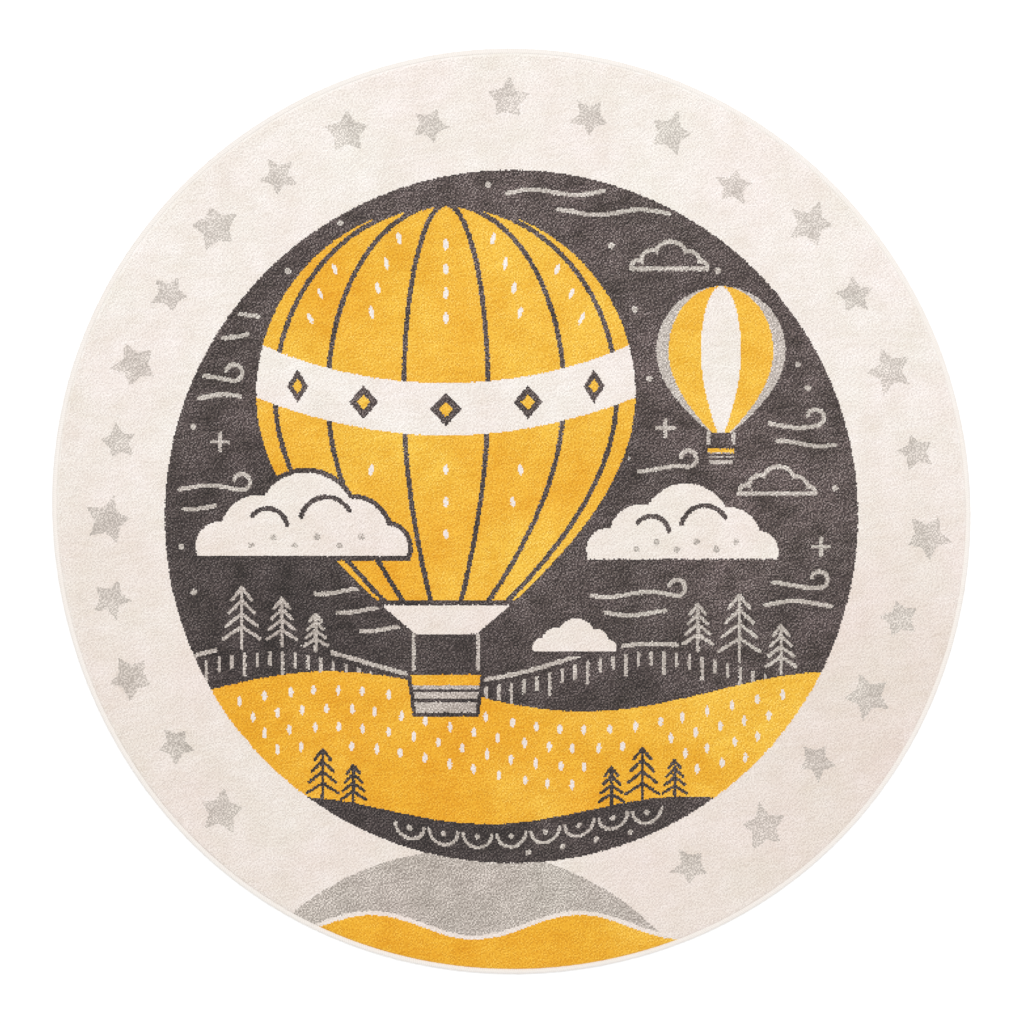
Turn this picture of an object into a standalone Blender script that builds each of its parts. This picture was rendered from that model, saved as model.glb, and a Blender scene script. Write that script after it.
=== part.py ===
"""A round kids rug: one woven pile disc and the oversewn binding round its rim.

Metres, +Z up. The origin is on the floor under the middle of the rug, with the design's
top towards +Y. Both pieces are turned profiles, then pulled slightly out of round.
"""

import math

import bpy
import numpy as np

# Driving dimensions
RUG_RADIUS = 0.600  # mean, to the outside of the binding
RUG_HEIGHT = 0.010  # floor to the tips of the pile
BINDING_WIDTH = 0.007  # across the oversewn edge, seen from above
BINDING_HEIGHT = 0.007  # the stitches crush the pile to this height
UNDER_STITCH = 0.0012  # yarn of the binding that passes below the ground cloth
SHOULDER_RADIUS = 0.0025  # the rounded edge of the pile beside the binding
TONGUE_THICKNESS = 0.0025  # ground cloth and crushed pile inside the binding
TONGUE_LENGTH = 0.0048
RISE_LENGTH = 0.003  # over which the ground cloth lifts off the floor to enter the binding
GAP = 0.0003  # between the two pieces
AROUND = 160  # facets round the rug

# How far the cut outline strays from a circle: waves round the rim, metres and degrees
OUT_OF_ROUND = (
    {"waves": 2, "height": 0.0034, "crest_deg": -66.0},
    {"waves": 4, "height": 0.0010, "crest_deg": -32.0},
    {"waves": 5, "height": 0.0007, "crest_deg": 17.0},
)

CREAM = (0.86, 0.79, 0.73)
BINDING_CREAM = (0.92, 0.86, 0.80)


def make_material(name, colour, roughness):
    """A matt yarn."""
    material = bpy.data.materials.new(name)
    material.use_nodes = True
    shader = material.node_tree.nodes["Principled BSDF"]
    shader.inputs["Base Color"].default_value = (*colour, 1.0)
    shader.inputs["Roughness"].default_value = roughness
    shader.inputs["Metallic"].default_value = 0.0
    return material


def arc(centre_r, centre_z, radius_r, radius_z, start_deg, end_deg, steps):
    """Points on an elliptic arc in the (r, z) plane, both ends included."""
    angles = np.radians(np.linspace(start_deg, end_deg, steps + 1))
    return [
        (centre_r + radius_r * math.cos(a), centre_z + radius_z * math.sin(a))
        for a in angles
    ]


def outline_shift(angles):
    """How far the rim lies outside the mean circle at each angle."""
    return sum(
        wave["height"] * np.cos(wave["waves"] * (angles - math.radians(wave["crest_deg"])))
        for wave in OUT_OF_ROUND
    )


def outline_middle():
    """The middle of the outline's box, so that the rug can be centred on the origin."""
    angles = np.radians(np.arange(0.0, 360.0, 360.0 / AROUND))
    radii = RUG_RADIUS + outline_shift(angles)
    x, y = radii * np.cos(angles), radii * np.sin(angles)
    return (x.max() + x.min()) / 2, (y.max() + y.min()) / 2


def turned(name, profile, closed, material, collection):
    """The profile turned about Z with a Screw modifier, as a mesh object of its own.

    An open profile starts and ends on the axis; a closed one makes a ring.
    """
    count = len(profile)
    edges = [(i, i + 1) for i in range(count - 1)]
    if closed:
        edges.append((count - 1, 0))
    line = bpy.data.meshes.new(name + "_profile")
    line.from_pydata([(r, 0.0, z) for r, z in profile], edges, [])
    turning = bpy.data.objects.new(name + "_turning", line)
    collection.objects.link(turning)
    screw = turning.modifiers.new("turn", "SCREW")
    screw.axis = "Z"
    screw.angle = math.tau
    screw.steps = screw.render_steps = AROUND
    screw.use_merge_vertices = True
    screw.merge_threshold = 0.0001
    evaluated = turning.evaluated_get(bpy.context.evaluated_depsgraph_get())
    mesh = bpy.data.meshes.new_from_object(evaluated)
    mesh.name = name
    bpy.data.objects.remove(turning)
    bpy.data.meshes.remove(line)
    mesh.materials.clear()
    mesh.materials.append(material)
    mesh.shade_smooth()
    mesh.set_sharp_from_angle(angle=math.radians(40))
    piece = bpy.data.objects.new(name, mesh)
    collection.objects.link(piece)
    return piece


def pull_out_of_round(piece):
    """Moves each point outwards in proportion to its radius, by the rim's own waves."""
    mesh = piece.data
    points = np.empty(len(mesh.vertices) * 3, np.float32)
    mesh.vertices.foreach_get("co", points)
    points = points.reshape(-1, 3)
    angles = np.arctan2(points[:, 1], points[:, 0])
    stretch = 1.0 + outline_shift(angles) / RUG_RADIUS
    middle = outline_middle()
    points[:, 0] = points[:, 0] * stretch - middle[0]
    points[:, 1] = points[:, 1] * stretch - middle[1]
    mesh.vertices.foreach_set("co", points.ravel())
    mesh.update()


def body_profile():
    """Over the pile, round its shoulder, out along the tongue, and back under the cloth."""
    wall = RUG_RADIUS - BINDING_WIDTH - GAP / 2
    tongue_low = UNDER_STITCH + GAP
    tongue_high = tongue_low + TONGUE_THICKNESS
    shoulder = arc(
        wall - SHOULDER_RADIUS, RUG_HEIGHT - SHOULDER_RADIUS,
        SHOULDER_RADIUS, SHOULDER_RADIUS, 90, 0, 4,
    )
    return [
        (0.0, RUG_HEIGHT),
        *shoulder,
        (wall, tongue_high),
        (wall + TONGUE_LENGTH, tongue_high),
        (wall + TONGUE_LENGTH, tongue_low),
        (wall, tongue_low),
        (wall - RISE_LENGTH, 0.0),
        (0.0, 0.0),
    ]


def binding_profile():
    """A rounded roll of yarn, flat below, with a slot for the rug body's tongue."""
    inner = RUG_RADIUS - BINDING_WIDTH + GAP / 2
    slot_end = RUG_RADIUS - BINDING_WIDTH - GAP / 2 + TONGUE_LENGTH + GAP
    slot_low = UNDER_STITCH
    slot_high = UNDER_STITCH + TONGUE_THICKNESS + 2 * GAP
    middle_r = (inner + RUG_RADIUS) / 2
    half_width = RUG_RADIUS - middle_r
    half_height = BINDING_HEIGHT / 2
    roll = arc(middle_r, half_height, half_width, half_height, 162, -54, 12)
    return [
        (inner, slot_high),
        *roll,
        (middle_r, 0.0),
        (inner, 0.0),
        (inner, slot_low),
        (slot_end, slot_low),
        (slot_end, slot_high),
    ]


def main():
    for old in list(bpy.data.objects):
        bpy.data.objects.remove(old)
    rug = bpy.data.collections.new("round_kids_rug")
    bpy.context.scene.collection.children.link(rug)

    pile = make_material("cream_pile", CREAM, 0.95)
    yarn = make_material("edge_yarn", BINDING_CREAM, 0.85)
    body = turned("rug_body", body_profile(), False, pile, rug)
    binding = turned("edge_binding", binding_profile(), True, yarn, rug)
    for piece in (body, binding):
        pull_out_of_round(piece)


main()
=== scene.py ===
# %% [markdown]
# # A round kids rug
#
# The rug is woven in one piece: thousands of small tufts of yarn stand on a flat ground
# cloth, and the round that is cut from it has cream yarn sewn over its rim. Five yarns
# make it: cream, charcoal, mustard and grey in the pile, and a whiter one on the edge.
#
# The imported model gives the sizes. This script grows the pile, the edge and the back on
# it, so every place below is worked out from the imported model's own points.

import bmesh
import bpy
import numpy as np
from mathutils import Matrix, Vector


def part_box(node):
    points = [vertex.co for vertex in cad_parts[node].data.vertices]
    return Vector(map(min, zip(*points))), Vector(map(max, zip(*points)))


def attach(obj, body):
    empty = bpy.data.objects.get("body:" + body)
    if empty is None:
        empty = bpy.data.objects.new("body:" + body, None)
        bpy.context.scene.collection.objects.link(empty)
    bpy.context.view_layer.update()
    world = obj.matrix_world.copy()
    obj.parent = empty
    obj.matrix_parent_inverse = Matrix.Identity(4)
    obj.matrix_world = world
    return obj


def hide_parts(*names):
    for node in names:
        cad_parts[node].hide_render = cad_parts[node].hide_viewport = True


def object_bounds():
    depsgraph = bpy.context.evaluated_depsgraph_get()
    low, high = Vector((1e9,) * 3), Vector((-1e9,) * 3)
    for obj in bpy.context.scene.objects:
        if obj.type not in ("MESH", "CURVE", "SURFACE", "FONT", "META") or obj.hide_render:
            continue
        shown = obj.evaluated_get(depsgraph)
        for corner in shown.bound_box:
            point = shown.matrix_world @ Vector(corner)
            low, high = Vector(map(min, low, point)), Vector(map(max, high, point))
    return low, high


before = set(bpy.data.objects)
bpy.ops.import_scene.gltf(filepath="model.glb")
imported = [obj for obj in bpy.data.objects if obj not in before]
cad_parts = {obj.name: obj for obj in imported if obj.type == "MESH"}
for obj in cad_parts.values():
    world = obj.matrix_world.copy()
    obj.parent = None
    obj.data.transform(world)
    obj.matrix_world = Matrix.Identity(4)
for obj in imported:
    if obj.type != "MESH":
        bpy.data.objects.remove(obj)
cad_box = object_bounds()
print("packed box", cad_box)

# %% [markdown]
# ## The outline
#
# A loom weaves a rectangle and a knife cuts the round, so the outline strays a few
# millimetres from a circle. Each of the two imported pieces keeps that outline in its
# points. A ring of points at one height, sorted by angle, gives the radius in any
# direction, and `np.interp` with a period of a full turn fills in between them.

# %% Read the outline at a given height
def node_points(node):
    """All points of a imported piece, one row each."""
    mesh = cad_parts[node].data
    flat = np.empty(len(mesh.vertices) * 3, np.float32)
    mesh.vertices.foreach_get("co", flat)
    return flat.reshape(-1, 3).astype(float)


def outline_at(node, height):
    """The piece's points within 0.1 mm of a height, as angles and radii in order."""
    points = node_points(node)
    ring = points[np.abs(points[:, 2] - height) < 0.0001]
    angles = np.arctan2(ring[:, 1], ring[:, 0])
    order = np.argsort(angles)
    return angles[order], np.hypot(ring[:, 0], ring[:, 1])[order]


def radius_along(outline, angles):
    """The outline's radius in each of the given directions."""
    return np.interp(angles, *outline, period=2 * np.pi)


edge_low, edge_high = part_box("edge_binding")
EDGE_HEIGHT = edge_high.z
PILE_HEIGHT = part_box("rug_body")[1].z
SHOULDER = 0.0025  # height of the rounded part of the pile's rim
rim = outline_at("edge_binding", EDGE_HEIGHT / 2)
wall = outline_at("rug_body", PILE_HEIGHT - SHOULDER)
print("outline points", len(rim[0]), len(wall[0]))
print("mean radius: rim %.4f, pile %.4f m" % (rim[1].mean(), wall[1].mean()))

# %% [markdown]
# ## Camera and light
#
# The rug is looked at from straight above with a long lens, so its near and far sides
# have the same size. The light is that of a studio: a bright soft sky all round, and a
# broad lamp high up, a little beyond the top of the rug. The lamp gives the pile its grain.

# %% Camera straight above
LENS = 90.0  # mm
SENSOR = 36.0  # mm
VIEW_WIDTH = 1.329  # metres across the picture, at the height of the pile
OFF_MIDDLE = (0.0008, -0.0010)  # where the camera stands beside the middle of the rug
eye_height = PILE_HEIGHT + VIEW_WIDTH * LENS / SENSOR
camera_data = bpy.data.cameras.new("camera")
camera_data.lens = LENS
camera = bpy.data.objects.new("camera", camera_data)
camera.location = (*OFF_MIDDLE, eye_height)
bpy.context.scene.collection.objects.link(camera)
bpy.context.scene.camera = camera
bpy.context.scene.view_settings.view_transform = "Standard"
print("camera height %.3f m" % eye_height)

# %% Soft studio light
world = bpy.data.worlds.new("studio")
world.use_nodes = True
world.node_tree.nodes["Background"].inputs["Color"].default_value = (1.0, 1.0, 1.0, 1.0)
world.node_tree.nodes["Background"].inputs["Strength"].default_value = 0.87
bpy.context.scene.world = world


def area_lamp(name, location, size, watts):
    """A round lamp that points at the middle of the rug."""
    data = bpy.data.lights.new(name, "AREA")
    data.shape = "DISK"
    data.size = size
    data.energy = watts
    lamp = bpy.data.objects.new(name, data)
    lamp.location = location
    direction = (-np.array(location)).tolist()
    lamp.rotation_euler = Vector(direction).to_track_quat("-Z", "Y").to_euler()
    bpy.context.scene.collection.objects.link(lamp)


area_lamp("key_lamp", (0.15, 1.2, 4.8), 2.4, 84.0)

# %% Pale floor
bpy.ops.mesh.primitive_plane_add(size=14.0, location=(0.0, 0.0, 0.0))
floor = bpy.context.object
floor.name = "floor"
floor_material = bpy.data.materials.new("pale_floor")
floor_material.use_nodes = True
floor_shader = floor_material.node_tree.nodes["Principled BSDF"]
floor_shader.inputs["Base Color"].default_value = (0.96, 0.96, 0.96, 1.0)
floor_shader.inputs["Roughness"].default_value = 0.9
floor_shader.inputs["Specular IOR Level"].default_value = 0.1
floor.data.materials.append(floor_material)

# %% [markdown]
# ## The chart of tufts
#
# A woven picture is a chart: each tuft is one yarn, and a curve becomes a stair of
# tufts. So the design isn't an image here. It is a set of shapes, each a formula that
# gives the distance from a tuft's centre to the shape's edge, negative inside. Laying
# the shapes over one another in order, as paper cut-outs, gives every tuft its yarn.

# %% A square grid of tufts over the whole rug
TUFT = 0.0017  # spacing of the tufts
tufts_each_way = int(np.ceil(cad_box[1][0] / TUFT)) + 2
lines = np.arange(-tufts_each_way, tufts_each_way + 1) * TUFT
middles = (lines[1:] + lines[:-1]) / 2
x, y = np.meshgrid(middles, middles, indexing="ij")
CREAM, CHARCOAL, MUSTARD, GREY, MARL = range(5)  # marl is grey twisted with a strand of cream
chart = np.full(x.shape, CREAM, np.int8)
RAGGED = 0.00028  # how much the shapes' edges stray from tuft to tuft
ragged = np.random.default_rng(5).normal(0.0, RAGGED, x.shape)
print("grid of", chart.shape, "tufts")


def lay(shape, yarn, over=None):
    """Tufts inside a shape take a yarn; over keeps to those that have one of some yarns."""
    inside = shape + ragged < 0
    if over is not None:
        inside &= np.isin(chart, over)
    chart[inside] = yarn


# %% Plain shapes, as distances
def disc(cx, cy, r):
    """Distance to the centre, less the radius."""
    return np.hypot(x - cx, y - cy) - r


def stroke(x1, y1, x2, y2, width):
    """Distance to the nearest point of a straight run, less half the width."""
    dx, dy = x2 - x1, y2 - y1
    along = np.clip(((x - x1) * dx + (y - y1) * dy) / (dx * dx + dy * dy), 0, 1)
    return np.hypot(x - x1 - along * dx, y - y1 - along * dy) - width / 2


def arc_stroke(cx, cy, r, start_deg, end_deg, width):
    """The same along a part of a circle."""
    middle = np.radians((start_deg + end_deg) / 2)
    half = np.radians((end_deg - start_deg) / 2)
    turn = (np.arctan2(y - cy, x - cx) - middle + np.pi) % (2 * np.pi) - np.pi
    turn = middle + np.clip(turn, -half, half)
    return np.hypot(x - cx - r * np.cos(turn), y - cy - r * np.sin(turn)) - width / 2


def drop(cx, cy, length, width, turn_deg=90.0):
    """A dash with two pointed ends: what two equal circles share."""
    half_length, half_width = length / 2, width / 2
    r = (half_length**2 + half_width**2) / (2 * half_width)
    turn = np.radians(turn_deg)
    along = (x - cx) * np.cos(turn) + (y - cy) * np.sin(turn)
    across = (y - cy) * np.cos(turn) - (x - cx) * np.sin(turn)
    return np.hypot(along, np.abs(across) + r - half_width) - r


# %% A five-pointed star, a little uneven
NOTCH = 0.55  # radius of a star's inner corners, as a share of the outer


def star(cx, cy, outer, turn, arms):
    """Between two corners at radii a and b, d apart in angle, the edge is the straight line
    a b sin(d) / (a sin(angle past a) + b sin(angle before b)); arms stretches each corner."""
    step = np.pi / 5
    corners = np.tile([outer, NOTCH * outer], 5) * arms
    angle = (np.arctan2(y - cy, x - cx) - turn) % (2 * np.pi)
    k = np.minimum((angle / step).astype(int), 9)
    a, b = corners[k], corners[(k + 1) % 10]
    past, before = angle - k * step, (k + 1) * step - angle
    edge = a * b * np.sin(step) / (a * np.sin(past) + b * np.sin(before))
    return np.hypot(x - cx, y - cy) - edge


# %% [markdown]
# ## Stars round the border
#
# Pale grey stars follow the rim on the cream ground, small and large in turn, and leave a
# gap at the bottom. The large ones stand a little further out. They are placed by angle
# along a ring, somewhat wider apart on the right than on the left; a seeded random draw
# moves, turns and stretches each a little, so that none looks stamped.

# %% Lay the ring of stars
STARS = 26
STAR_STEP = 11.57  # mean step from one star to the next, degrees
FIRST_STAR = -63.3
STAR_BOW = 3.3  # how far the stars near the top are ahead of even steps, degrees
SMALL_STAR, LARGE_STAR = (0.0250, 0.522), (0.0302, 0.533)  # size, and distance from the middle
star_draw = np.random.default_rng(12)
for k in range(STARS):
    angle = np.radians(FIRST_STAR + STAR_STEP * k + STAR_BOW * np.sin(np.pi * k / (STARS - 1)))
    outer, ring = LARGE_STAR if k % 2 else SMALL_STAR
    ring += star_draw.uniform(-0.011, 0.011)
    arms = star_draw.uniform(0.90, 1.10, 10)
    turn = star_draw.uniform(0, 2 * np.pi)
    lay(star(ring * np.cos(angle), ring * np.sin(angle), outer, turn, arms), MARL)
print("tufts in the stars", int((chart == MARL).sum()))

# %% [markdown]
# ## The night sky
#
# The middle holds a plain round of charcoal sky with hot-air balloons over hills. Fine
# light grey lines, about three tufts wide, draw wind, far clouds and a few twinkles.

# %% The round of sky
LINE = 0.0054  # width of the light lines
BOLD = 0.0064  # width of the dark lines
THIN = 0.0042  # the finest line that the tufts can draw
SKY = (0.0, -0.007, 0.450)  # centre and radius
sky = disc(*SKY)
lay(sky, CHARCOAL)


def in_sky(shape):
    """The part of a shape that lies within the sky."""
    return np.maximum(shape, sky)


def well_inside(px, py, margin):
    """Whether a point, or each of an array of points, is at least a margin inside the sky."""
    return np.hypot(px - SKY[0], py - SKY[1]) < SKY[2] - margin


def height_of(curve, at):
    """height + rise sin(2 pi (at - start) / length), at one x or at each of an array."""
    height, rise, length, start = curve
    return height + rise * np.sin(2 * np.pi / length * (at - start))


def above(curve):
    """Distance over such a curve: the upright distance, by sqrt(1 + slope^2)."""
    _, rise, length, start = curve
    k = 2 * np.pi / length
    return (y - height_of(curve, x)) / np.hypot(1, rise * k * np.cos(k * (x - start)))


def wind(curve, left, right):
    """A short wavy stroke."""
    beyond = np.maximum(np.maximum(left - x, x - right), 0)
    return np.hypot(above(curve), beyond) - LINE / 2


# %% Wind lines, some of which end in a curl
CURL = 0.0105  # radius of a curl
WIND_RISE, WIND_LENGTH, WIND_SHIFT = 0.0035, 0.11, 0.03  # the last from one stroke to the next
WIND = (  # height, left end, right end, and whether it curls
    (0.414, -0.005, 0.120, False), (0.388, 0.060, 0.205, False),
    (0.252, -0.352, -0.328, False), (0.228, -0.374, -0.342, False),
    (0.172, -0.398, -0.360, True), (0.148, -0.405, -0.352, False),
    (0.112, 0.335, 0.395, True), (0.088, 0.345, 0.420, False),
    (0.030, -0.430, -0.350, True), (0.006, -0.425, -0.385, False),
    (0.055, 0.165, 0.230, True),
    (-0.104, -0.255, -0.150, False), (-0.128, -0.225, -0.146, False),
    (-0.152, -0.195, -0.122, False),
    (-0.096, 0.340, 0.400, True), (-0.120, 0.330, 0.415, False),
    (-0.108, 0.105, 0.215, True), (-0.132, 0.122, 0.200, False),
)
for number, (height, left, right, curls) in enumerate(WIND):
    curve = (height, WIND_RISE, WIND_LENGTH, WIND_SHIFT * number)
    lay(in_sky(wind(curve, left, right)), GREY, [CHARCOAL])
    if curls:
        end = height_of(curve, right)
        lay(in_sky(arc_stroke(right, end + CURL, CURL, -90, 165, LINE)), GREY, [CHARCOAL])

# %% Clouds
CLOUD_LUMPS = (  # across, up, radius, all as shares of the cloud's size
    (-1.00, 0.12, 0.30), (-0.55, 0.30, 0.44), (0.05, 0.42, 0.60),
    (0.62, 0.26, 0.44), (1.02, 0.10, 0.28),
)
CLOUD_DOT = 0.0042  # radius of the dots on a near cloud


def cloud(cx, cy, size):
    """A union of discs with a flat foot; the foot's two ends are rounded."""
    lumps = [disc(cx + u * size, cy + v * size, r * size) for u, v, r in CLOUD_LUMPS]
    body = np.maximum(np.minimum.reduce(lumps), cy - y)
    foot = 0.14 * size
    return np.minimum(
        body, stroke(cx - 1.08 * size, cy + foot, cx + 1.10 * size, cy + foot, 2 * foot)
    )


def far_cloud(cx, cy, size):
    """Only the outline of a cloud, as a fine line."""
    lay(in_sky(np.abs(cloud(cx, cy, size) + LINE / 2) - LINE / 2), GREY, [CHARCOAL])


def near_cloud(cx, cy, size, curls=True):
    """A cream cloud with a charcoal edge against what is behind it, two curls and dots."""
    shape = cloud(cx, cy, size)
    lay(in_sky(shape - BOLD), CHARCOAL)
    lay(in_sky(shape), CREAM)
    if not curls:
        return
    lay(arc_stroke(cx - 0.42 * size, cy + 0.34 * size, 0.24 * size, 10, 140, BOLD), CHARCOAL)
    lay(arc_stroke(cx + 0.30 * size, cy + 0.40 * size, 0.32 * size, 30, 165, BOLD), CHARCOAL)
    for k in range(6):
        dot_x, dot_y = cx + (0.27 * k - 0.62) * size, cy + (0.13 + 0.10 * (k % 2)) * size
        lay(disc(dot_x, dot_y, CLOUD_DOT), GREY)


far_cloud(0.345, 0.020, 0.040)
far_cloud(0.205, 0.312, 0.040)

# %% Twinkles: small crosses and dots
CROSS_ARM, STAR_DOT = 0.011, 0.0040  # half the size of a cross, and the radius of a dot
CROSSES = ((0.200, 0.108), (-0.378, 0.090), (0.402, -0.046))
DOTS = (
    (0.372, 0.190), (0.160, 0.262), (-0.413, 0.110), (0.385, 0.160), (0.268, 0.312),
    (0.150, 0.070), (-0.428, -0.046), (-0.400, 0.205), (0.245, 0.140), (-0.030, 0.424),
    (0.179, 0.172), (0.130, 0.345), (-0.222, 0.374), (-0.290, 0.312), (-0.412, -0.105),
    (0.420, 0.030),
)
for cx, cy in CROSSES:
    cross = np.minimum(
        stroke(cx - CROSS_ARM, cy, cx + CROSS_ARM, cy, THIN),
        stroke(cx, cy - CROSS_ARM, cx, cy + CROSS_ARM, THIN),
    )
    lay(in_sky(cross), GREY, [CHARCOAL])
for cx, cy in DOTS:
    lay(in_sky(disc(cx, cy, STAR_DOT)), GREY, [CHARCOAL])

# %% [markdown]
# ## Hills
#
# Three ridges cross the bottom of the sky, each a sine curve: a charcoal one hatched
# with grey, a mustard one strewn with cream drops, and a charcoal one with scallops.

# %% Ridges and their fillings
BACK_RIDGE = (-0.196, 0.024, 0.50, 0.06)  # height, rise, length, start
MUSTARD_RIDGE = (-0.234, 0.026, 0.66, -0.40)
FRONT_RIDGE = (-0.388, 0.018, 0.52, 0.10)
SCALLOP_DOT = 0.0036  # radius of the dots round the scallops
BOW, HIGH_DOT, LOW_DOT = 0.86, 0.22, 1.28  # a bow's radius and the dots' depths, in half widths


def below(ridge):
    """Everything in the sky that lies under a ridge."""
    return in_sky(above(ridge))


def crest(ridge):
    """A fine line along the ridge."""
    return in_sky(np.abs(above(ridge)) - LINE / 2)


def hatching(ridge, spacing=0.0165, length=0.030, gap=0.010):
    """Upright dashes under a ridge, of slowly changing length."""
    depth = height_of(ridge, x) - y
    number = np.round(x / spacing)
    reach = gap + length * (0.75 + 0.25 * np.cos(2.1 * number))
    side = np.abs(x - number * spacing) - THIN / 2
    return in_sky(np.maximum(side, np.maximum(gap - depth, depth - reach)))


def scallops(ridge, r=0.022, gap=0.012):
    """A row of half circles under a ridge, with a dot in each and one below each joint, as
    far as they fit in the sky."""
    depth = height_of(ridge, x) - y - gap
    middle = np.round(x / (2 * r)) * 2 * r
    joint = (np.floor(x / (2 * r)) + 0.5) * 2 * r
    bow = np.maximum(np.abs(np.hypot(x - middle, depth) - BOW * r) - THIN / 2, -depth)
    dot = np.hypot(x - middle, depth - HIGH_DOT * r) - SCALLOP_DOT
    low_dot = np.hypot(x - joint, depth - LOW_DOT * r) - SCALLOP_DOT
    corner = 0.7 * r  # how far down and out the outer corner of a bow lies
    bow_foot = height_of(ridge, middle) - gap - corner
    bow_fits = well_inside(np.abs(middle) + corner, bow_foot, LINE)
    dot_fits = well_inside(joint, height_of(ridge, joint) - gap - LOW_DOT * r, 2 * LINE)
    return np.minimum(
        np.where(bow_fits, np.minimum(bow, dot), 1.0), np.where(dot_fits, low_dot, 1.0)
    )


lay(below(BACK_RIDGE), CHARCOAL)
lay(crest(BACK_RIDGE), GREY)


# %% Fir trees
FIR_WIDTH = 0.62  # all four as shares of a fir's height
BOUGH_STEP = 1 / 4.6  # from one pair of boughs down to the next
BOUGH_FALL = 0.20  # from the trunk down to a bough's tip
CLEARING = 0.41  # radius of the gap in the ridge's line round a tree
ROOT = 0.003  # how far a trunk reaches into the hill


def fir(cx, foot, tall):
    """A trunk with four pairs of hanging boughs, each wider than the one above."""
    wide = FIR_WIDTH * tall
    parts = [stroke(cx, foot, cx, foot + tall, THIN)]
    for k in range(4):
        top = foot + tall * (1 - k * BOUGH_STEP)
        reach = wide * (0.35 + 0.65 * (k + 1) / 4) / 2
        parts += [
            stroke(cx, top, cx + side * reach, top - BOUGH_FALL * tall, THIN) for side in (-1, 1)
        ]
    return in_sky(np.minimum.reduce(parts))


def row_of_firs(ridge, firs):
    """The union of the firs along a ridge, from the place and the height of each."""
    return np.minimum.reduce([fir(cx, height_of(ridge, cx) - ROOT, tall) for cx, tall in firs])


# %% Plant the firs, strew the drops and lay the scallops
back_firs = (  # place and height of each
    (-0.350, 0.078), (-0.298, 0.062), (-0.254, 0.048),
    (0.242, 0.060), (0.296, 0.086), (0.350, 0.062),
)
front_firs = ((-0.245, 0.066), (-0.205, 0.052), (0.130, 0.052), (0.170, 0.070), (0.212, 0.050))
for cx, tall in back_firs:  # the crest's line stops at each tree
    lay(disc(cx, height_of(BACK_RIDGE, cx), CLEARING * tall), CHARCOAL, [GREY])
lay(hatching(BACK_RIDGE), GREY)
lay(row_of_firs(BACK_RIDGE, back_firs), GREY)

lay(below(MUSTARD_RIDGE), MUSTARD)
trees = row_of_firs(FRONT_RIDGE, front_firs)
DROP_ROOM = 0.011  # free space that a drop needs round its middle
DROP_ROW = 0.024  # from one row of drops down to the next
drop_draw = np.random.default_rng(2)
for column in range(-13, 14):
    for row in range(4):
        cx = 0.032 * column + 0.016 * (row % 2) + drop_draw.uniform(-0.002, 0.002)
        cy = height_of(MUSTARD_RIDGE, cx) - DROP_ROW - DROP_ROW * row
        near = np.hypot(x - cx, y - cy) < DROP_ROOM
        if well_inside(cx, cy, DROP_ROOM) and (trees[near] > 0).all():
            lay(drop(cx, cy, 0.014, 0.0062), CREAM, [MUSTARD])
lay(trees, CHARCOAL)
lay(below(FRONT_RIDGE), CHARCOAL)
lay(scallops(FRONT_RIDGE), GREY, [CHARCOAL])

# %% [markdown]
# ## Balloons
#
# A balloon is a half circle above, and below it a cosine that draws in to the mouth. Its
# seams are the same outline squeezed sideways, as meridians look on a globe.

# %% The shape of a balloon
MOUTH_DROP = 1.27  # from the widest place down to the mouth, in radii
POINT_DROP = 1.38  # down to where its sides would meet
FULLNESS = 0.9  # the power that makes the lower part fuller


def taper(depth):
    """cos(90 deg * depth / depth of the point) ^ fullness, with depths in radii."""
    return np.cos(np.pi / 2 * depth / POINT_DROP) ** FULLNESS


def half_width(cy, r):
    """sqrt(r^2 - h^2) at h above the middle, and r times the taper below it."""
    dome = np.sqrt(np.clip(r * r - (y - cy) ** 2, 0, None))
    depth = (cy - y) / r
    under = r * taper(np.clip(depth, 0, MOUTH_DROP))
    return np.where(depth < 0, dome, np.where(depth <= MOUTH_DROP, under, 0))


def envelope_of(cx, cy, r):
    """Distance to the balloon's outline, and its half width at each height."""
    wide = half_width(cy, r)
    slope = np.gradient(wide, TUFT, axis=1)
    distance = np.where(wide > 0, (np.abs(x - cx) - wide) / np.hypot(1, slope), 1.0)
    return distance, wide


def hang_basket(cx, mouth_y, r):
    """Two ropes, a marled basket that narrows downwards, and its mustard rim."""
    half, deep = 0.17 * r, 0.20 * r
    rim_y = mouth_y - 0.21 * r
    for side in (-1, 1):
        lay(stroke(cx + side * half, mouth_y, cx + side * half, rim_y, THIN), GREY)
    up = (y - rim_y + deep / 2) / (deep / 2)
    basket = np.maximum(
        np.abs(x - cx) - half * (1 + 0.08 * up), np.abs(y - rim_y + deep / 2) - deep / 2
    )
    lay(basket - LINE, CHARCOAL)
    lay(basket, GREY)
    lay(np.maximum(basket, rim_y - 0.055 * r - y), MUSTARD)
    for share in (0.42, 0.68):
        lay(np.maximum(basket, np.abs(y - rim_y + share * deep) - THIN / 2), CHARCOAL)


# %% The large balloon: seven gores, a belt of diamonds and rows of drops
BIG = (-0.085, 0.152, 0.246)  # centre and radius
GORE = 180.0 / 7  # degrees of the globe that each gore covers
big_x, big_y, big_r = BIG
envelope, wide = envelope_of(*BIG)
lay(envelope - BOLD, CHARCOAL)
lay(envelope, MUSTARD)

for k in np.arange(-2.5, 3.0, 1.0):
    seam_x = np.sin(np.radians(k * GORE)) * wide
    slope = np.gradient(seam_x, TUFT, axis=1)
    seam = np.abs(x - big_x - seam_x) / np.hypot(1, slope) - BOLD / 2
    lay(np.maximum(seam, envelope), CHARCOAL)

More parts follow.
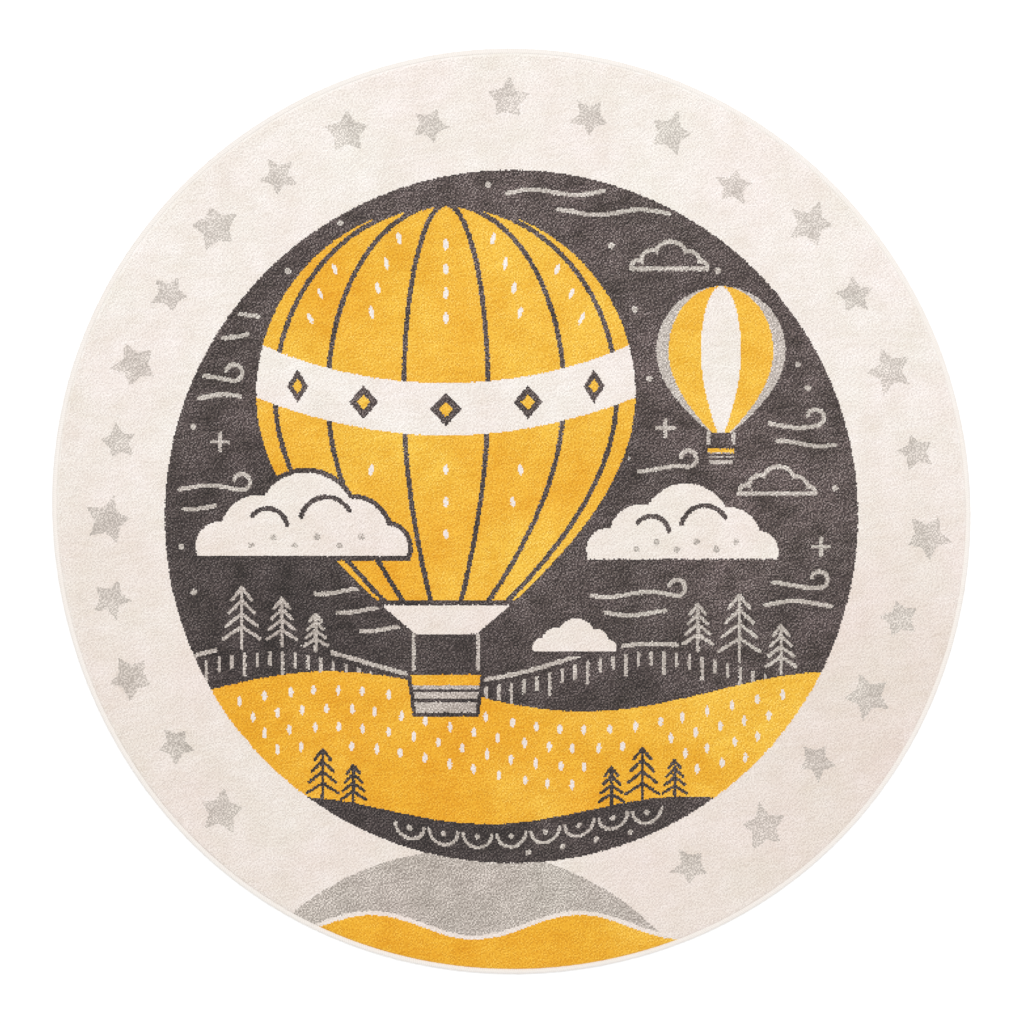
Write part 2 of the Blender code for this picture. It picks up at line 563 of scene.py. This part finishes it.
across = (x - big_x) / np.maximum(wide, TUFT)
up = (y - big_y) / big_r
BELT_UP, BELT_SAG = 0.12, 0.20  # its ends over the widest place and its sag, in radii
BELT_HALF = 0.034  # half its width
belt_up = up + BELT_SAG * (1 - across**2) - BELT_UP
lay(np.maximum(envelope, np.abs(belt_up) * big_r - BELT_HALF), CREAM)
for k in range(-2, 3):
    turn = np.radians(k * GORE)
    cx = big_x + big_r * np.sin(turn)
    cy = big_y + big_r * (BELT_UP - BELT_SAG * np.cos(turn) ** 2)
    tall, broad = 0.022, 0.019 * np.cos(turn) + 0.002
    diamond = np.abs(x - cx) / broad + np.abs(y - cy) / tall
    lay(np.maximum((diamond - 1.0) * broad, envelope), CHARCOAL)
    lay(np.maximum((diamond - 0.45) * broad, envelope), MUSTARD)

for k, rows in ((-2, 3), (-1, 4), (0, 4), (1, 4), (2, 3)):
    for row in range(rows):
        lift = 0.40 + 0.13 * row + 0.03 * (k % 2)
        turn = np.radians(k * GORE)
        cx = big_x + np.sin(turn) * np.sqrt(1 - lift**2) * big_r
        slim = 0.0068 * np.cos(turn / 1.5)
        lay(drop(cx, big_y + lift * big_r, 0.017, slim, 90 - 12 * k), CREAM)

for k, rows in ((-1, 1), (0, 3), (1, 2)):
    for row in range(rows):
        fall = 0.40 + 0.17 * row
        cx = big_x + np.sin(np.radians(k * GORE)) * taper(fall) * big_r
        lay(drop(cx, big_y - fall * big_r, 0.015, 0.0062, 90 + 10 * k), CREAM)

lay(np.maximum(envelope, np.abs(up + 1.19) * big_r - 0.020), CREAM)
lay(np.maximum(envelope, np.abs(up + 1.10) * big_r - BOLD / 2), CHARCOAL)
hang_basket(big_x, big_y - MOUTH_DROP * big_r, big_r)

# %% The small balloon: striped gores
SMALL = (0.272, 0.208, 0.084)
small_x, small_y, small_r = SMALL
envelope, wide = envelope_of(*SMALL)
lay(envelope - LINE, CHARCOAL)
lay(envelope, MUSTARD)
across = np.abs(x - small_x) / np.maximum(wide, TUFT)
lay(np.where(across < np.sin(np.radians(18)), envelope, 1.0), CREAM)
lay(np.where(across > np.sin(np.radians(54)), envelope, 1.0), GREY)
hang_basket(small_x, small_y - MOUTH_DROP * small_r, 1.15 * small_r)

# %% Clouds in front of the balloons, and a hill and a meadow at the rim
near_cloud(-0.272, -0.058, 0.106)
near_cloud(0.222, -0.062, 0.096)
near_cloud(0.082, -0.182, 0.042, curls=False)

lay(np.maximum(disc(-0.060, -0.790, 0.350), -sky), GREY)
MEADOW = (-0.540, 0.016, 0.27, 0.02)  # height, rise, length, start
meadow = above(MEADOW)
lay(meadow - LINE, CREAM, [GREY])
lay(meadow, MUSTARD)

# %% [markdown]
# ## The pile
#
# A cut pile is a field of tufts, each a small tilted tip. Nearly 400,000 separate tufts
# would be too heavy, so the pile's top is one skin: each tuft is one face, its four
# corners are raised, lowered and moved by a little chance, and the faces of one yarn
# make one piece. A map named `tuft` gives each face its own square, so that the
# material can round every tip and paint shade into the gaps between tips.

# %% Heights and places of the tufts' corners
OVERLAP = 0.0004  # the outermost tufts stand on the sewn edge
SPLAY = (0.005, 0.0014)  # where they begin to splay outwards, and how much that lowers them
PILE_ROUND = 0.0018  # how far in from its rim the pile bends down
RIM_HEIGHT = 0.0066  # where it meets the sewn edge, on the whole
TIGHTEST = np.radians(-75.0)  # the edge is sewn tightest here and loosest opposite
TIGHTNESS = 0.0005  # how much lower and higher the pile meets it there
SCATTER = 0.10 * TUFT  # of the corners, sideways
TIP_SCATTER = 0.00026  # of the corners, up and down
corner_draw = np.random.default_rng(7)
corner_x, corner_y = np.meshgrid(lines, lines, indexing="ij")
corner_x = corner_x + corner_draw.normal(0.0, SCATTER, corner_x.shape)
corner_y = corner_y + corner_draw.normal(0.0, SCATTER, corner_y.shape)
corner_angle = np.arctan2(corner_y, corner_x)
corner_r = np.hypot(corner_x, corner_y)
wall_r = radius_along(wall, corner_angle) + OVERLAP
outside = corner_r >= wall_r
pull = np.where(outside, wall_r / np.maximum(corner_r, TUFT), 1.0)
corner_x, corner_y = corner_x * pull, corner_y * pull


def soft_hills(px, py, draw, size, count=24):
    """The sum of plane waves in all directions, about one unit high: slow, even ripples."""
    total = np.zeros(px.shape)
    for _ in range(count):
        direction, phase = draw.uniform(0, 2 * np.pi, 2)
        k = 2 * np.pi / (size * draw.uniform(0.7, 1.6))
        total += np.cos(k * (px * np.cos(direction) + py * np.sin(direction)) + phase)
    return total / np.sqrt(count / 2)


inset = wall_r - np.hypot(corner_x, corner_y)
splay = SPLAY[1] * np.clip(1.0 - inset / SPLAY[0], 0.0, 1.0) ** 2
round_off = 1.0 - np.sqrt(1.0 - np.clip(1.0 - inset / PILE_ROUND, 0.0, 1.0) ** 2)
tips = corner_draw.normal(0.0, TIP_SCATTER, corner_x.shape)
swell = 0.00010 * soft_hills(corner_x, corner_y, corner_draw, 0.09)
corner_z = PILE_HEIGHT - 0.0003 + np.clip(tips, -0.0008, 0.0006) + swell - splay
tight = np.cos(corner_angle - TIGHTEST)
corner_z -= round_off * (corner_z - RIM_HEIGHT + TIGHTNESS * tight)
corners = np.stack([corner_x, corner_y, corner_z], axis=-1)
print("pile top from %.2f to %.2f mm" % (corner_z.min() * 1e3, corner_z.max() * 1e3))

# %% A mesh from points and four-sided faces
def mesh_piece(name, points, faces):
    """A smooth-shaded object at the origin, from arrays of points and of faces' corners."""
    mesh = bpy.data.meshes.new(name)
    mesh.vertices.add(len(points))
    mesh.vertices.foreach_set("co", np.ascontiguousarray(points, np.float32).ravel())
    mesh.loops.add(faces.size)
    mesh.loops.foreach_set("vertex_index", faces.astype(np.int32).ravel())
    mesh.polygons.add(len(faces))
    starts = np.arange(0, faces.size, faces.shape[1], dtype=np.int32)
    mesh.polygons.foreach_set("loop_start", starts)
    mesh.update(calc_edges=True)
    mesh.shade_smooth()
    piece = bpy.data.objects.new(name, mesh)
    bpy.context.scene.collection.objects.link(piece)
    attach(piece, "root")
    return piece


def add_map(piece, name, uv):
    """A UV map from one (u, v) pair for each corner of each face."""
    flat = np.ascontiguousarray(uv, np.float32).ravel()
    piece.data.uv_layers.new(name=name).data.foreach_set("uv", flat)


def bake_map(piece, faces, flat):
    """A map that spreads the piece's own flat extent over the whole square."""
    low, high = flat.min(axis=0), flat.max(axis=0)
    add_map(piece, "OFBake", ((flat - low) / (high - low))[faces])


# %% One piece of pile for each yarn; the cream and the charcoal in two halves
next_column = len(lines)
column, row = np.meshgrid(*[np.arange(len(middles))] * 2, indexing="ij")
first = column * next_column + row
tuft_corners = np.stack([first, first + next_column, first + next_column + 1, first + 1], axis=-1)
standing = ~outside.ravel()[tuft_corners].all(axis=-1)
shade_draw = np.random.default_rng(11).random(chart.shape)
LIKENESS = {  # how like its neighbours a tuft is, by steps to the right and up
    (1, 0): -0.13, (0, 1): -0.17, (1, 1): 0.02, (-1, 1): -0.07,
}
unlike = shade_draw + sum(
    share * np.roll(shade_draw, (sign * right, sign * up), (0, 1))
    for (right, up), share in LIKENESS.items() for sign in (-1, 1)
)
unlike = unlike.ravel()
tone = np.empty(unlike.size)
tone[np.argsort(unlike)] = np.linspace(0.0, 1.0, unlike.size)
tone = tone.reshape(chart.shape)
tone = np.where(chart == MARL, 0.44 + 0.56 * tone * tone * (3 - 2 * tone), tone)
# painted light: tufts near the rim get a lighter tone, most towards the top of the rug and least
# towards the bottom
rim_inset = radius_along(wall, np.arctan2(y, x)) + OVERLAP - np.hypot(x, y)
painted_rim_light = 0.5 - 0.3 * np.cos(np.arctan2(y, x) - TIGHTEST)
PAINTED_RIM_LIGHT_WIDTH = 0.004  # how far in from the rim the tufts are painted lighter
tone += painted_rim_light * np.clip(1.0 - rim_inset / PAINTED_RIM_LIGHT_WIDTH, 0.0, 1.0)
SQUARE = np.array([(0.0, 0.0), (1.0, 0.0), (1.0, 1.0), (0.0, 1.0)])


def grow_pile(name, where):
    """The faces of the chosen tufts, with a tone for each and the two maps."""
    chosen = where & standing
    points_used, faces = np.unique(tuft_corners[chosen], return_inverse=True)
    faces = faces.reshape(-1, 4)
    points = corners.reshape(-1, 3)[points_used]
    piece = mesh_piece(name, points, faces)
    piece.data.attributes.new("tone", "FLOAT", "FACE").data.foreach_set(
        "value", tone[chosen].astype(np.float32)
    )
    add_map(piece, "tuft", np.tile(SQUARE, (len(faces), 1)))
    bake_map(piece, faces, points[:, :2])
    print(name, "has", len(faces), "tufts,", 2 * len(faces), "triangles")
    return piece


cream, charcoal = chart == CREAM, chart == CHARCOAL
pile = {
    "cream_left": grow_pile("pile_cream_left", cream & (x < 0)),
    "cream_right": grow_pile("pile_cream_right", cream & (x >= 0)),
    "charcoal_top": grow_pile("pile_charcoal_top", charcoal & (y >= 0)),
    "charcoal_low": grow_pile("pile_charcoal_low", charcoal & (y < 0)),
    "mustard": grow_pile("pile_mustard", chart == MUSTARD),
    "grey": grow_pile("pile_grey", np.isin(chart, (GREY, MARL))),
}

# %% [markdown]
# ## Yarn materials
#
# The four pile yarns share one recipe. The tone of a tuft picks its shade from a ramp,
# from the yarn's deepest to its lightest filament; painted light and shade, a slow drift
# and slow noise, make the pile lighter on one side of the rug and shift its colour; fine
# noise is the fibre ends; and painted shade darkens the gaps between tips.

# %% Helpers for node trees
def srgb(red, green, blue):
    """A screen colour from 0 to 255 as the linear colour that Blender works in."""
    share = np.array([red, green, blue]) / 255.0
    linear = np.where(share <= 0.04045, share / 12.92, ((share + 0.055) / 1.055) ** 2.4)
    return (*linear.tolist(), 1.0)


def start_material(name):
    """A new material, its node tree and its shader."""
    material = bpy.data.materials.new(name)
    material.use_nodes = True
    tree = material.node_tree
    return material, tree, tree.nodes["Principled BSDF"]


def add_node(tree, kind, inputs, **settings):
    """A node with its settings; an input is a plain value or another node's socket."""
    node = tree.nodes.new("ShaderNode" + kind)
    for name, value in settings.items():
        setattr(node, name, value)
    for key, value in inputs.items():
        if isinstance(value, bpy.types.NodeSocket):
            tree.links.new(value, node.inputs[key])
        else:
            node.inputs[key].default_value = value
    return node.outputs[0]


def maths(tree, operation, first, second=0.0, third=0.0):
    """A Math node."""
    return add_node(tree, "Math", {0: first, 1: second, 2: third}, operation=operation)


def noise(tree, place, scale, detail=2.0):
    """Noise of about 0.5, with so many ups and downs to a metre."""
    return add_node(tree, "TexNoise", {"Vector": place, "Scale": scale, "Detail": detail})


def between(tree, value, low, high, to_low, to_high):
    """A value from one range brought to another, and held inside it."""
    names = ("Value", "From Min", "From Max", "To Min", "To Max")
    return add_node(tree, "MapRange", dict(zip(names, (value, low, high, to_low, to_high))))


def tint(tree, factor, colour, other, blend="MIX"):
    """Two colours mixed; 6 and 7 are the Mix node's colour inputs, and 2 its colour output."""
    inputs = {0: factor, 6: colour, 7: other}
    return add_node(tree, "Mix", inputs, data_type="RGBA", blend_type=blend).node.outputs[2]


def ramp(tree, factor, stops):
    """A colour ramp from (position, colour) pairs."""
    node = tree.nodes.new("ShaderNodeValToRGB")
    tree.links.new(factor, node.inputs[0])
    node.color_ramp.elements.remove(node.color_ramp.elements[1])
    node.color_ramp.elements[0].position = stops[0][0]
    node.color_ramp.elements[0].color = stops[0][1]
    for position, colour in stops[1:]:
        node.color_ramp.elements.new(position).color = colour
    return node.outputs[0]


# %% The pile's painted light and shade, and how it is mottled
def grey_of(tree, value):
    """A value as a colour."""
    return add_node(tree, "CombineColor", {0: value, 1: value, 2: value})


def painted_pile_light(tree, place, drift, limits, patches, corner):
    """About 0 to 1, the share of painted light, with painted shade and tint where it is low: an
    even drift held between limits, which paints one side of the rug lighter, slow painted
    patches of sheen of some 20 cm, and less by corner x |y| in the quarter where x > 0 > y,
    with |y| held under 0.2 m, which makes that quarter darker and warmer."""
    slope = add_node(tree, "VectorMath", {0: place, 1: drift}, operation="DOT_PRODUCT")
    slope = maths(tree, "ADD", slope.node.outputs["Value"], 0.6)
    slope = between(tree, slope, *limits, *limits)
    patch = between(tree, noise(tree, place, 4.8, 2.0), 0.3, 0.7, -patches, patches)
    parts = add_node(tree, "SeparateXYZ", {0: place}).node
    right = maths(tree, "MAXIMUM", parts.outputs[0], 0.0)
    low = between(tree, parts.outputs[1], -0.2, 0.0, -0.2 * corner, 0.0)
    return maths(tree, "ADD", maths(tree, "ADD", slope, patch), maths(tree, "MULTIPLY", right, low))


def pile_mottle(tree, place, strength):
    """A colour of about 1, 1, 1 that the yarn is multiplied by: soft blotches of two to four
    centimetres, and streaks where the tips lie over one another, which rise to the right by
    7 degrees. The strength is that in red, green and blue, so the hue shifts as well."""
    blotch = between(tree, noise(tree, place, 30.0, 1.5), 0.25, 0.75, -1.35, 1.35)
    turned = add_node(
        tree, "VectorRotate", {"Vector": place, "Angle": np.radians(-7.0)}, rotation_type="Z_AXIS"
    )
    stretched = add_node(
        tree, "VectorMath", {0: turned, 1: (32.0, 135.0, 1.0)}, operation="MULTIPLY"
    )
    streak = between(tree, noise(tree, stretched, 1.0, 2.5), 0.25, 0.75, -1.0, 1.0)
    both = grey_of(tree, maths(tree, "ADD", blotch, streak))
    return add_node(
        tree, "VectorMath", {0: both, 1: strength, 2: (1.0, 1.0, 1.0)}, operation="MULTIPLY_ADD"
    )


# %% The pile recipe
def pile_material(name, stops, painted_light_shape, painted_shade_tint, painted_light_range, mottle, gap_shade, specular):
    """stops are the yarn's shades. The next three arguments paint light and shade on the pile:
    the drift, limits, patches and corner of the share of painted light, the tint of the
    painted shade where that share is low, and the painted brightness at its two ends;
    mottle is the strength of its blotches, and gap_shade the brightness of the painted
    shade between the tips."""
    material, tree, shader = start_material(name)
    place = add_node(tree, "TexCoord", {}).node.outputs["Object"]
    tone_of_tuft = add_node(tree, "Attribute", {}, attribute_name="tone").node.outputs["Fac"]
    fibre = noise(tree, place, 1500.0, 3.0)
    shade_at = maths(tree, "ADD", tone_of_tuft, between(tree, fibre, 0.3, 0.7, -0.16, 0.16))
    colour = ramp(tree, shade_at, stops)

    # painted light and shade: the pile is lighter on one side of the rug, darker and tinted
    # elsewhere
    painted_light_share = painted_pile_light(tree, place, *painted_light_shape)
    colour = tint(tree, painted_light_share, tint(tree, 1.0, colour, painted_shade_tint, "MULTIPLY"), colour)
    batch = between(tree, noise(tree, place, 8.0, 2.0), 0.35, 0.65, 0.0, 1.0)
    batch_tint = tint(tree, batch, (1.0, 0.982, 0.985, 1.0), (0.988, 1.0, 0.985, 1.0))
    colour = tint(tree, 1.0, colour, batch_tint, "MULTIPLY")
    colour = tint(tree, 1.0, colour, pile_mottle(tree, place, mottle), "MULTIPLY")
    square = add_node(tree, "UVMap", {}, uv_map="tuft")
    from_middle = add_node(
        tree, "VectorMath", {0: square, 1: (0.5, 0.5, 0.0)}, operation="DISTANCE"
    ).node.outputs["Value"]
    # painted shade: each tuft darkens towards the edges of its square, between the tips
    gap = between(tree, from_middle, 0.42, 0.72, 1.0, gap_shade)
    light = maths(tree, "MULTIPLY", between(tree, painted_light_share, 0.0, 1.0, *painted_light_range), gap)
    colour = tint(tree, 1.0, colour, grey_of(tree, light), "MULTIPLY")
    tree.links.new(colour, shader.inputs["Base Color"])

    tip = between(tree, from_middle, 0.1, 0.7, 1.0, 0.0)
    relief = maths(tree, "ADD", tip, maths(tree, "MULTIPLY", fibre, 0.6))
    bump = add_node(tree, "Bump", {"Height": relief, "Strength": 0.5, "Distance": 0.0004})
    tree.links.new(bump, shader.inputs["Normal"])
    shader.inputs["Roughness"].default_value = 0.75
    shader.inputs["Specular IOR Level"].default_value = specular
    shader.inputs["Sheen Weight"].default_value = 0.10
    shader.inputs["Sheen Roughness"].default_value = 0.5
    return material


# %% Four yarns
CREAM_STOPS = (
    (0.0, srgb(218, 210, 203)), (0.35, srgb(233, 225, 219)), (0.75, srgb(239, 233, 227)),
    (1.0, srgb(246, 242, 237)),
)
CHARCOAL_STOPS = (
    (0.0, srgb(25, 17, 16)), (0.45, srgb(71, 60, 59)), (0.8, srgb(102, 90, 87)),
    (1.0, srgb(138, 126, 123)),
)
MUSTARD_STOPS = (
    (0.0, srgb(214, 156, 42)), (0.4, srgb(234, 182, 61)), (0.8, srgb(240, 193, 72)),
    (1.0, srgb(248, 211, 104)),
)
GREY_STOPS = (
    (0.0, srgb(144, 136, 129)), (0.4, srgb(181, 173, 166)), (0.75, srgb(203, 195, 188)),
    (1.0, srgb(233, 226, 219)),
)
cream_yarn = pile_material(
    "cream_pile", CREAM_STOPS, ((0.1, 1.5, 0.0), (0.45, 0.84), 0.10, 3.0),
    (1.0, 0.93, 0.895, 1.0), (0.88, 1.0), (0.024, 0.031, 0.044), 0.86, 0.15,
)
charcoal_yarn = pile_material(
    "charcoal_pile", CHARCOAL_STOPS, ((0.7, 1.2, 0.0), (0.1, 0.95), 0.28, 0.0),
    (1.0, 1.0, 1.0, 1.0), (0.54, 1.205), (0.27, 0.28, 0.30), 0.66, 0.35,
)
mustard_yarn = pile_material(
    "mustard_pile", MUSTARD_STOPS, ((0.8, 0.8, 0.0), (0.05, 1.0), 0.65, 0.0),
    (1.0, 0.84, 0.45, 1.0), (0.94, 1.0), (0.030, 0.072, 0.21), 0.82, 0.20,
)
grey_yarn = pile_material(
    "grey_pile", GREY_STOPS, ((0.1, 1.2, 0.0), (0.3, 0.9), 0.20, 0.0),
    (1.0, 0.97, 0.95, 1.0), (0.90, 1.02), (0.090, 0.095, 0.100), 0.78, 0.20,
)
for key, material in (
    ("cream_left", cream_yarn), ("cream_right", cream_yarn), ("charcoal_top", charcoal_yarn),
    ("charcoal_low", charcoal_yarn), ("mustard", mustard_yarn), ("grey", grey_yarn),
):
    pile[key].data.materials.append(material)

# %% [markdown]
# ## The sewn edge
#
# Cream yarn is sewn over the rim in close turns, which crush the pile into a round roll.
# A curve for every turn would be heavy, so the roll is one closed skin: a rounded cross
# section carried round the rim, swelling and narrowing once for each turn of the yarn.
# The rows of the grid lean with the yarn, so the grooves between turns stay sharp.

# %% Distances along the rim
TURNS = 1440  # turns of yarn round the rim
STEPS = 5  # rows of points in each turn
AROUND = 11  # points round the roll
RIM_STEPS = 14400  # short straight steps by which the rim's length is measured
UNDER_PILE = 0.0012  # how far the roll reaches under the pile
fine_angle = np.linspace(-np.pi, np.pi, RIM_STEPS + 1)
edge_inner = wall[1].mean() - UNDER_PILE
edge_half = (rim[1].mean() - edge_inner) / 2
fine_r = radius_along(rim, fine_angle) - edge_half
fine_x, fine_y = fine_r * np.cos(fine_angle), fine_r * np.sin(fine_angle)
travelled = np.concatenate([[0.0], np.cumsum(np.hypot(np.diff(fine_x), np.diff(fine_y)))])
print("rim %.3f m, a turn of yarn every %.2f mm" % (travelled[-1], travelled[-1] / TURNS * 1e3))

# %% The roll of yarn
LEAN = 0.45  # how far a turn leans from the inner to the outer side, in turns
BULGE = 0.10  # how far a turn stands out of the groove, as a share of the roll
turn_draw = np.random.default_rng(17)
turn_size = turn_draw.normal(1.0, 0.035, TURNS)
turn_shift = turn_draw.normal(0.0, 0.06, TURNS)
turn_number = np.repeat(np.arange(TURNS), STEPS)
phase = np.tile(np.arange(STEPS) / STEPS, TURNS)
swelling = np.abs(np.sin(np.pi * phase)) ** 0.7
section = np.radians(90.0 - 360.0 * np.arange(AROUND) / AROUND)
INNER_SQUARENESS, OUTER_SQUARENESS = 5.0, 1.9  # flat against the pile, round outside
squareness = np.where(np.cos(section) < 0, INNER_SQUARENESS, OUTER_SQUARENESS)
side = np.sign(np.cos(section)) * np.abs(np.cos(section)) ** (2 / squareness)
rise = np.sign(np.sin(section)) * np.abs(np.sin(section)) ** (2 / squareness)

along = turn_number + phase + turn_shift[turn_number] * swelling
along = along[:, None] + LEAN * side[None, :]
distance = (along / TURNS * travelled[-1]) % travelled[-1]
angle = np.interp(distance, travelled, fine_angle)
size = 1.0 + BULGE * (swelling - 1.0) + (turn_size[turn_number] - 1.0) * swelling
off_x = edge_half * size[:, None] * side[None, :]
off_z = EDGE_HEIGHT / 2 * (size[:, None] * rise[None, :] + 1.0)
roll_r = radius_along(rim, angle) - edge_half + off_x
roll = np.stack([roll_r * np.cos(angle), roll_r * np.sin(angle), np.maximum(off_z, 0.0)], axis=-1)

# %% Faces and maps of the roll
rows_round = TURNS * STEPS
i, j = np.meshgrid(np.arange(rows_round), np.arange(AROUND), indexing="ij")
i_next, j_next = (i + 1) % rows_round, (j + 1) % AROUND
roll_faces = np.stack(
    [i * AROUND + j, i * AROUND + j_next, i_next * AROUND + j_next, i_next * AROUND + j], axis=-1
).reshape(-1, 4)
edge = mesh_piece("sewn_edge", roll.reshape(-1, 3), roll_faces)
in_turn = (i % STEPS) / STEPS
yarn_u = np.stack([in_turn, in_turn, in_turn + 1 / STEPS, in_turn + 1 / STEPS], axis=-1)
yarn_v = np.stack([j, j + 1, j + 1, j], axis=-1) / AROUND
add_map(edge, "strand", np.stack([yarn_u, yarn_v], axis=-1))
BAKE_ROWS = 40  # the long edge is cut into this many strips, one above another
per_strip = rows_round // BAKE_ROWS
strip, in_strip = i // per_strip, i % per_strip
bake_u = np.stack([in_strip, in_strip, in_strip + 1, in_strip + 1], axis=-1) / per_strip
bake_v = (strip[..., None] + yarn_v) / BAKE_ROWS
add_map(edge, "OFBake", np.stack([bake_u, bake_v], axis=-1))
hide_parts("edge_binding")
print("sewn edge has", len(roll_faces), "faces")

# %% The edge yarn: two plies twisted together
def edge_material():
    """Across a turn the yarn is round; its plies cross it on a slant. Painted shade darkens
    it towards the grooves between turns and in faint stripes along the plies.
    """
    material, tree, shader = start_material("edge_yarn")
    place = add_node(tree, "TexCoord", {}).node.outputs["Object"]
    strand = add_node(tree, "SeparateXYZ", {0: add_node(tree, "UVMap", {}, uv_map="strand")}).node
    across_turn, along_yarn = strand.outputs[0], strand.outputs[1]
    slant = maths(tree, "MULTIPLY_ADD", along_yarn, 60.0, maths(tree, "MULTIPLY", across_turn, 5.0))
    ply = maths(tree, "SINE", slant)
    fuzz = noise(tree, place, 1400.0, 3.0)
    patch = noise(tree, place, 16.0, 2.0)
    # painted shade: darker towards the grooves between turns, and faintly along the plies
    off_crown = maths(tree, "ABSOLUTE", maths(tree, "SUBTRACT", across_turn, 0.5))
    groove = between(tree, off_crown, 0.25, 0.5, 1.0, 0.90)
    light = maths(tree, "MULTIPLY", groove, between(tree, ply, -1.0, 1.0, 0.97, 1.0))
    fuzz_share = between(tree, fuzz, 0.3, 0.7, 0.0, 1.0)
    colour = tint(tree, fuzz_share, srgb(232, 226, 220), srgb(243, 238, 233))
    patch_share = between(tree, patch, 0.35, 0.65, 0.0, 0.30)
    colour = tint(tree, patch_share, colour, srgb(236, 227, 218))
    colour = tint(tree, 1.0, colour, grey_of(tree, light), "MULTIPLY")
    tree.links.new(colour, shader.inputs["Base Color"])
    relief = maths(tree, "MULTIPLY_ADD", ply, 0.5, fuzz)
    bump = add_node(tree, "Bump", {"Height": relief, "Strength": 0.5, "Distance": 0.0002})
    tree.links.new(bump, shader.inputs["Normal"])
    shader.inputs["Roughness"].default_value = 0.75
    shader.inputs["Specular IOR Level"].default_value = 0.2
    shader.inputs["Sheen Weight"].default_value = 0.05
    return material


edge.data.materials.append(edge_material())

# %% [markdown]
# ## The ground cloth
#
# Under the pile lies the cloth that holds the tufts: a flat weave of jute and cotton,
# about 2 mm thick, lifted a little where its rim goes into the sewn edge. It is a
# profile turned round the middle along the rug's own outline, closed at both poles.

# %% A profile turned along the outline
CLOTH = 0.0020  # thickness of the cloth
LIFT = 0.0015  # its height over the floor inside the sewn edge
SPOKES = 360  # profiles round the rug
back_profile = np.array(  # share of the pile's radius, metres beyond it, height
    [
        (0.00, 0.0, 0.0), (0.25, 0.0, 0.0), (0.50, 0.0, 0.0), (0.75, 0.0, 0.0),
        (1.00, -0.0030, 0.0), (1.00, 0.0, LIFT), (1.00, 0.0040, LIFT),
        (1.00, 0.0040, LIFT + CLOTH), (1.00, 0.0, LIFT + CLOTH), (1.00, -0.0030, CLOTH),
        (0.75, 0.0, CLOTH), (0.50, 0.0, CLOTH), (0.25, 0.0, CLOTH), (0.00, 0.0, CLOTH),
    ]
)
around_angle = np.linspace(-np.pi, np.pi, SPOKES, endpoint=False)
cloth_r = (
    radius_along(wall, around_angle)[:, None] * back_profile[None, :, 0] + back_profile[None, :, 1]
)
cloth = np.stack(
    [
        cloth_r * np.cos(around_angle)[:, None],
        cloth_r * np.sin(around_angle)[:, None],
        np.broadcast_to(back_profile[None, :, 2], cloth_r.shape),
    ],
    axis=-1,
)
rings = len(back_profile)
a, b = np.meshgrid(np.arange(SPOKES), np.arange(rings - 1), indexing="ij")
a_next = (a + 1) % SPOKES
cloth_faces = np.stack(
    [a * rings + b, a * rings + b + 1, a_next * rings + b + 1, a_next * rings + b], axis=-1
)
ground = mesh_piece("ground_cloth", cloth.reshape(-1, 3), cloth_faces.reshape(-1, 4))

# %% Close the poles and face it outwards
work = bmesh.new()
work.from_mesh(ground.data)
bmesh.ops.remove_doubles(work, verts=work.verts, dist=1e-6)
bmesh.ops.recalc_face_normals(work, faces=work.faces)
work.to_mesh(ground.data)
work.free()
ground.data.shade_smooth()
ground.data.set_sharp_from_angle(angle=np.radians(35))
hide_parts("rug_body")

# %% The woven back
WEFT_STEP, WARP_STEP = 0.0026, 0.0034  # from rib to rib and from thread to thread


def back_material():
    """Thick weft ribs crossed by thin warp threads, each a sine of its own direction."""
    material, tree, shader = start_material("ground_cloth")
    place = add_node(tree, "TexCoord", {}).node.outputs["Object"]
    parts = add_node(tree, "SeparateXYZ", {0: place}).node
    weft = maths(tree, "SINE", maths(tree, "MULTIPLY", parts.outputs[1], 2 * np.pi / WEFT_STEP))
    warp = maths(tree, "SINE", maths(tree, "MULTIPLY", parts.outputs[0], 2 * np.pi / WARP_STEP))
    fibre = noise(tree, place, 900.0, 4.0)
    along_weft = add_node(
        tree, "VectorMath", {0: place, 1: (9.0, 190.0, 1.0)}, operation="MULTIPLY"
    )
    slub = between(tree, noise(tree, along_weft, 1.0, 3.0), 0.35, 0.65, 0.0, 1.0)
    raised = maths(tree, "MAXIMUM", weft, maths(tree, "MULTIPLY", warp, 0.8))
    height = maths(tree, "ADD", raised, fibre)
    colour = tint(tree, slub, srgb(198, 173, 134), srgb(212, 192, 156))
    colour = tint(tree, between(tree, warp, 0.5, 1.0, 0.0, 0.6), colour, srgb(226, 218, 202))
    shadow = between(tree, height, -0.6, 1.2, 0.62, 1.0)
    colour = tint(tree, 1.0, colour, grey_of(tree, shadow), "MULTIPLY")
    tree.links.new(colour, shader.inputs["Base Color"])
    bump = add_node(tree, "Bump", {"Height": height, "Strength": 0.6, "Distance": 0.0005})
    tree.links.new(bump, shader.inputs["Normal"])
    shader.inputs["Roughness"].default_value = 0.9
    shader.inputs["Specular IOR Level"].default_value = 0.2
    return material


ground.data.materials.append(back_material())
